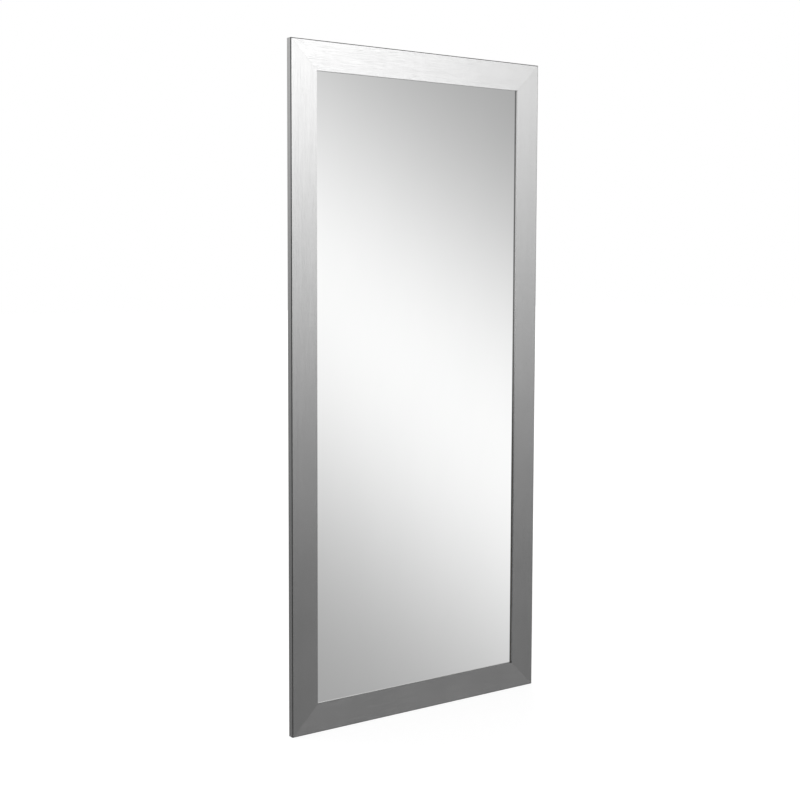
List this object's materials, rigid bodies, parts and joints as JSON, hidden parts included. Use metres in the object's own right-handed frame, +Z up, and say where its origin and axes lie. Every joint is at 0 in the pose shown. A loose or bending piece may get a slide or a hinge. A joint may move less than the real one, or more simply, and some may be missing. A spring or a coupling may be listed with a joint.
{
  "type": "wall mirror",
  "caption": "Full-length rectangular wall mirror in a flat mitred frame clad in brushed silver metal, with backing board, corner plates and hanging rings.",
  "frame": {"origin": "middle of the mirror on the plane of the wall, where the rear faces of the bumpers rest", "axes": "+X to the right as the mirror is looked at, +Y towards the wall, +Z up"},
  "size_m": [0.8128, 0.0254, 1.8034],
  "materials": {
    "brushed_nickel": "fine brushed along each side",
    "silvered_glass": "polished",
    "fibreboard": "raw fibreboard",
    "hardboard": "smooth hardboard",
    "cloth_tape": "matt",
    "film": "matt film",
    "foam": "soft closed cell",
    "black_rubber": "matt",
    "zinc_steel": "bright zinc plated",
    "screw_steel": "zinc plated",
    "ring_wire": "nickel plated wire"
  },
  "bodies": {
    "mirror": {"left_stile_core": "fibreboard", "left_stile_skin": "brushed_nickel", "left_stile_glazing_tape": "cloth_tape", "left_stile_edge_blocks": "black_rubber", "left_stile_clips": "zinc_steel", "left_stile_clip_screws": "screw_steel", "right_stile_core": "fibreboard", "right_stile_skin": "brushed_nickel", "right_stile_glazing_tape": "cloth_tape", "right_stile_edge_blocks": "black_rubber", "right_stile_clips": "zinc_steel", "right_stile_clip_screws": "screw_steel", "top_rail_core": "fibreboard", "top_rail_skin": "brushed_nickel", "top_rail_glazing_tape": "cloth_tape", "top_rail_edge_blocks": "black_rubber", "top_rail_clips": "zinc_steel", "top_rail_clip_screws": "screw_steel", "bottom_rail_core": "fibreboard", "bottom_rail_skin": "brushed_nickel", "bottom_rail_glazing_tape": "cloth_tape", "bottom_rail_edge_blocks": "black_rubber", "bottom_rail_clips": "zinc_steel", "bottom_rail_clip_screws": "screw_steel", "mirror_glass": "silvered_glass", "safety_film": "film", "foam_sheet": "foam", "backing_board": "hardboard", "top_left_corner_nails": "screw_steel", "top_left_corner_plate": "zinc_steel", "top_left_plate_screws": "screw_steel", "top_left_bumper": "black_rubber", "top_right_corner_nails": "screw_steel", "top_right_corner_plate": "zinc_steel", "top_right_plate_screws": "screw_steel", "top_right_bumper": "black_rubber", "bottom_left_corner_nails": "screw_steel", "bottom_left_corner_plate": "zinc_steel", "bottom_left_plate_screws": "screw_steel", "bottom_left_bumper": "black_rubber", "bottom_right_corner_nails": "screw_steel", "bottom_right_corner_plate": "zinc_steel", "bottom_right_plate_screws": "screw_steel", "bottom_right_bumper": "black_rubber", "left_stile_bumper_screws": "screw_steel", "right_stile_bumper_screws": "screw_steel", "left_hanger_strap": "zinc_steel", "left_hanger_screws": "screw_steel", "right_hanger_strap": "zinc_steel", "right_hanger_screws": "screw_steel", "upper_side_hanger_strap": "zinc_steel", "upper_side_hanger_screws": "screw_steel", "lower_side_hanger_strap": "zinc_steel", "lower_side_hanger_screws": "screw_steel"},
    "left_hanger_ring": {"left_hanger_ring": "ring_wire"},
    "right_hanger_ring": {"right_hanger_ring": "ring_wire"},
    "upper_side_hanger_ring": {"upper_side_hanger_ring": "ring_wire"},
    "lower_side_hanger_ring": {"lower_side_hanger_ring": "ring_wire"}
  },
  "joints": [
    {"name": "left_hanger_ring_swing", "type": "hinge", "parent": "mirror", "child": "left_hanger_ring", "pos_m": [-0.37305, -0.00335, 0.6767], "axis": [1, 0, 0], "range_deg": [0, 180]},
    {"name": "right_hanger_ring_swing", "type": "hinge", "parent": "mirror", "child": "right_hanger_ring", "pos_m": [0.37305, -0.00335, 0.6767], "axis": [1, 0, 0], "range_deg": [0, 180]},
    {"name": "upper_side_hanger_ring_swing", "type": "hinge", "parent": "mirror", "child": "upper_side_hanger_ring", "pos_m": [0.3862, -0.00335, 0.52125], "axis": [0, 0, -1], "range_deg": [0, 180]},
    {"name": "lower_side_hanger_ring_swing", "type": "hinge", "parent": "mirror", "child": "lower_side_hanger_ring", "pos_m": [0.3862, -0.00335, -0.52125], "axis": [0, 0, -1], "range_deg": [0, 180]}
  ]
}
